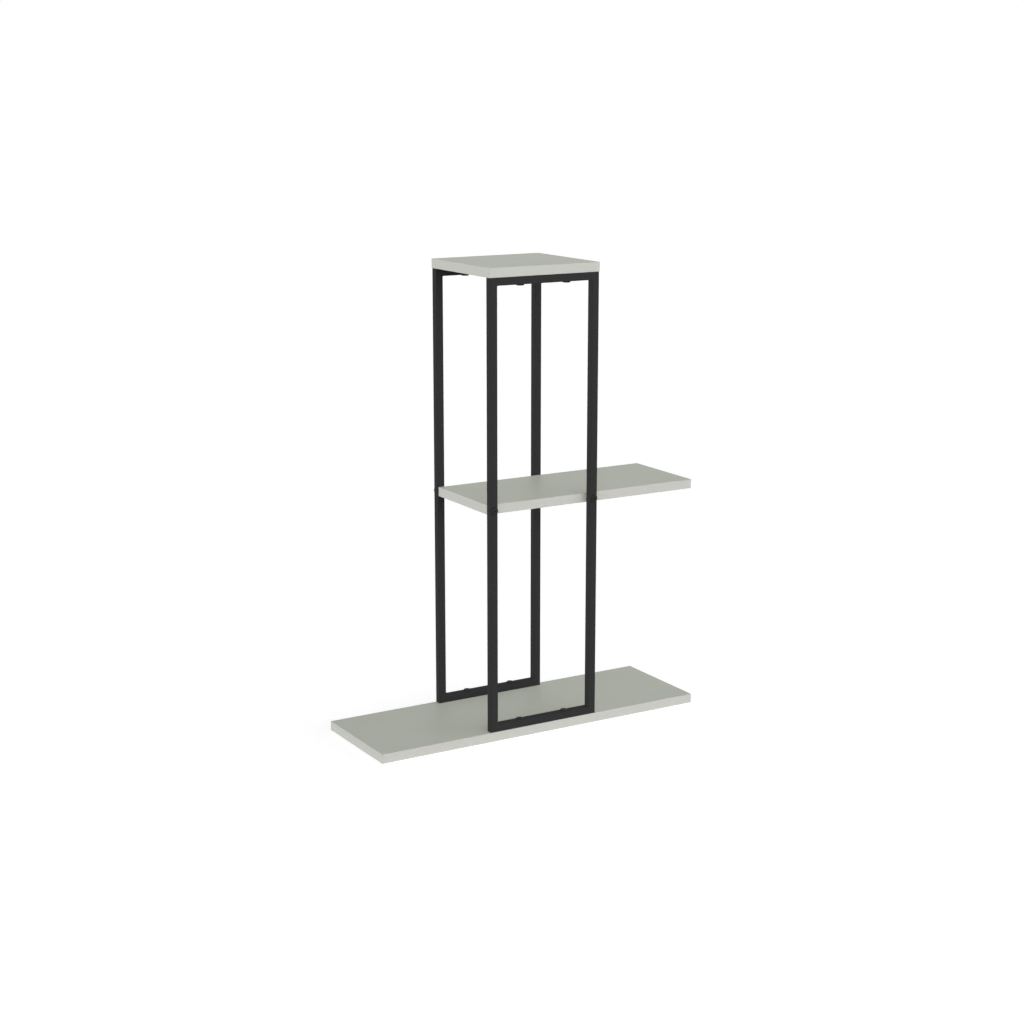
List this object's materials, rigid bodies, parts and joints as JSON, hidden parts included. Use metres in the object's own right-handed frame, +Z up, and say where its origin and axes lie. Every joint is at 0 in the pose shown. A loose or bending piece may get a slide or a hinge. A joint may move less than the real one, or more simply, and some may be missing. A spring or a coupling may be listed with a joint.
{
  "type": "plant stand",
  "caption": "Plant stand with a long base board, a middle shelf that runs out to one side and a small top board, bolted to two upright loops of black square tube.",
  "frame": {"origin": "on the floor under the middle of the base board", "axes": "+X along the base towards the end that the middle shelf reaches, +Y to the rear, +Z up"},
  "size_m": [0.7, 0.2244, 0.903],
  "materials": {
    "board_melamine": "matte",
    "edge_band": "matte",
    "frame_steel": "matte",
    "bolt_black": "satin",
    "insert_zinc": "satin",
    "glide_plastic": "satin",
    "nail_steel": "satin"
  },
  "bodies": {
    "root": {"base_board": "board_melamine", "shelf_board": "board_melamine", "top_board": "board_melamine", "base_edge_front": "edge_band", "base_edge_rear": "edge_band", "base_edge_left": "edge_band", "base_edge_right": "edge_band", "shelf_edge_front": "edge_band", "shelf_edge_rear": "edge_band", "shelf_edge_left": "edge_band", "shelf_edge_right": "edge_band", "top_edge_front": "edge_band", "top_edge_rear": "edge_band", "top_edge_left": "edge_band", "top_edge_right": "edge_band", "front_left_upright": "frame_steel", "front_right_upright": "frame_steel", "front_top_rail": "frame_steel", "front_bottom_rail": "frame_steel", "rear_left_upright": "frame_steel", "rear_right_upright": "frame_steel", "rear_top_rail": "frame_steel", "rear_bottom_rail": "frame_steel", "front_corner_welds": "frame_steel", "rear_corner_welds": "frame_steel", "front_base_bolts": "bolt_black", "front_shelf_bolts": "bolt_black", "front_top_bolts": "bolt_black", "rear_base_bolts": "bolt_black", "rear_shelf_bolts": "bolt_black", "rear_top_bolts": "bolt_black", "base_inserts": "insert_zinc", "shelf_inserts": "insert_zinc", "top_inserts": "insert_zinc", "foot_glides": "glide_plastic", "glide_nails": "nail_steel"}
  },
  "joints": []
}
